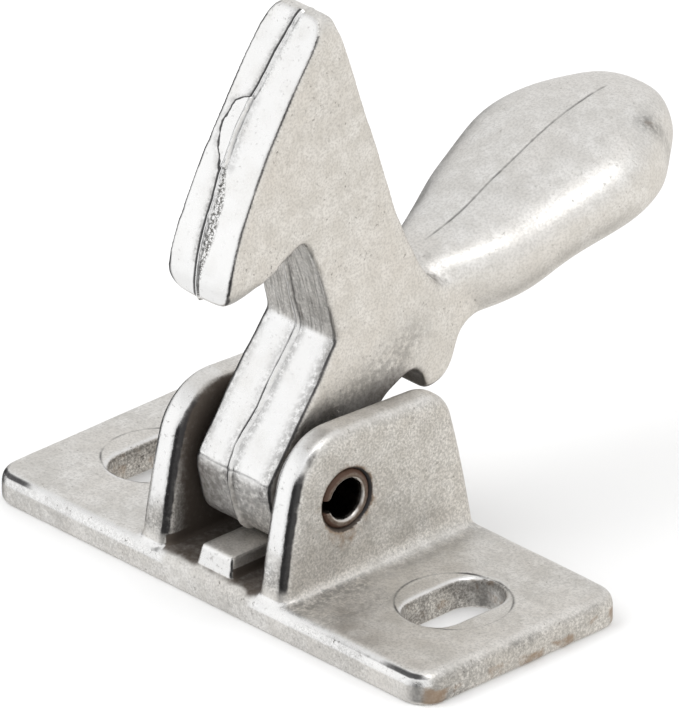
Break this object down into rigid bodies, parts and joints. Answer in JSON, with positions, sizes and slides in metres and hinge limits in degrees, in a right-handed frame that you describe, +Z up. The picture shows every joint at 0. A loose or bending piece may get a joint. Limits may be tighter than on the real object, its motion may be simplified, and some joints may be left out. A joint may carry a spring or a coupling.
{
  "type": "sprung elbow catch",
  "caption": "Sprung elbow catch: a slotted base plate with two ears carries a hinged hook lever with a thumb paddle, on a rolled pin over a coil spring.",
  "frame": {"origin": "centre of the plate's flat underside, which is the face that lies on the mounting surface", "axes": "+Z up from the mounting surface; X along the plate, parallel to the hinge axis; -Y towards the strike that the hook reaches over; +Y towards the thumb paddle"},
  "size_m": [0.06, 0.0589, 0.0585],
  "materials": {
    "cast_base": "satin",
    "cast_lever": "satin",
    "pin_steel": "satin",
    "spring_steel": "satin"
  },
  "bodies": {
    "base": {"base_bracket": "cast_base", "hinge_pin": "pin_steel", "return_spring": "spring_steel"},
    "lever": {"hook_lever": "cast_lever"}
  },
  "joints": [
    {"name": "lever_pivot", "type": "hinge", "parent": "base", "child": "lever", "pos_m": [0, -0.0039, 0.0115], "axis": [-1, 0, 0], "range_deg": [0, 25], "stiffness_Nm_per_rad": 0.5, "springref_deg": -17.19, "deforming": ["return_spring"]}
  ]
}
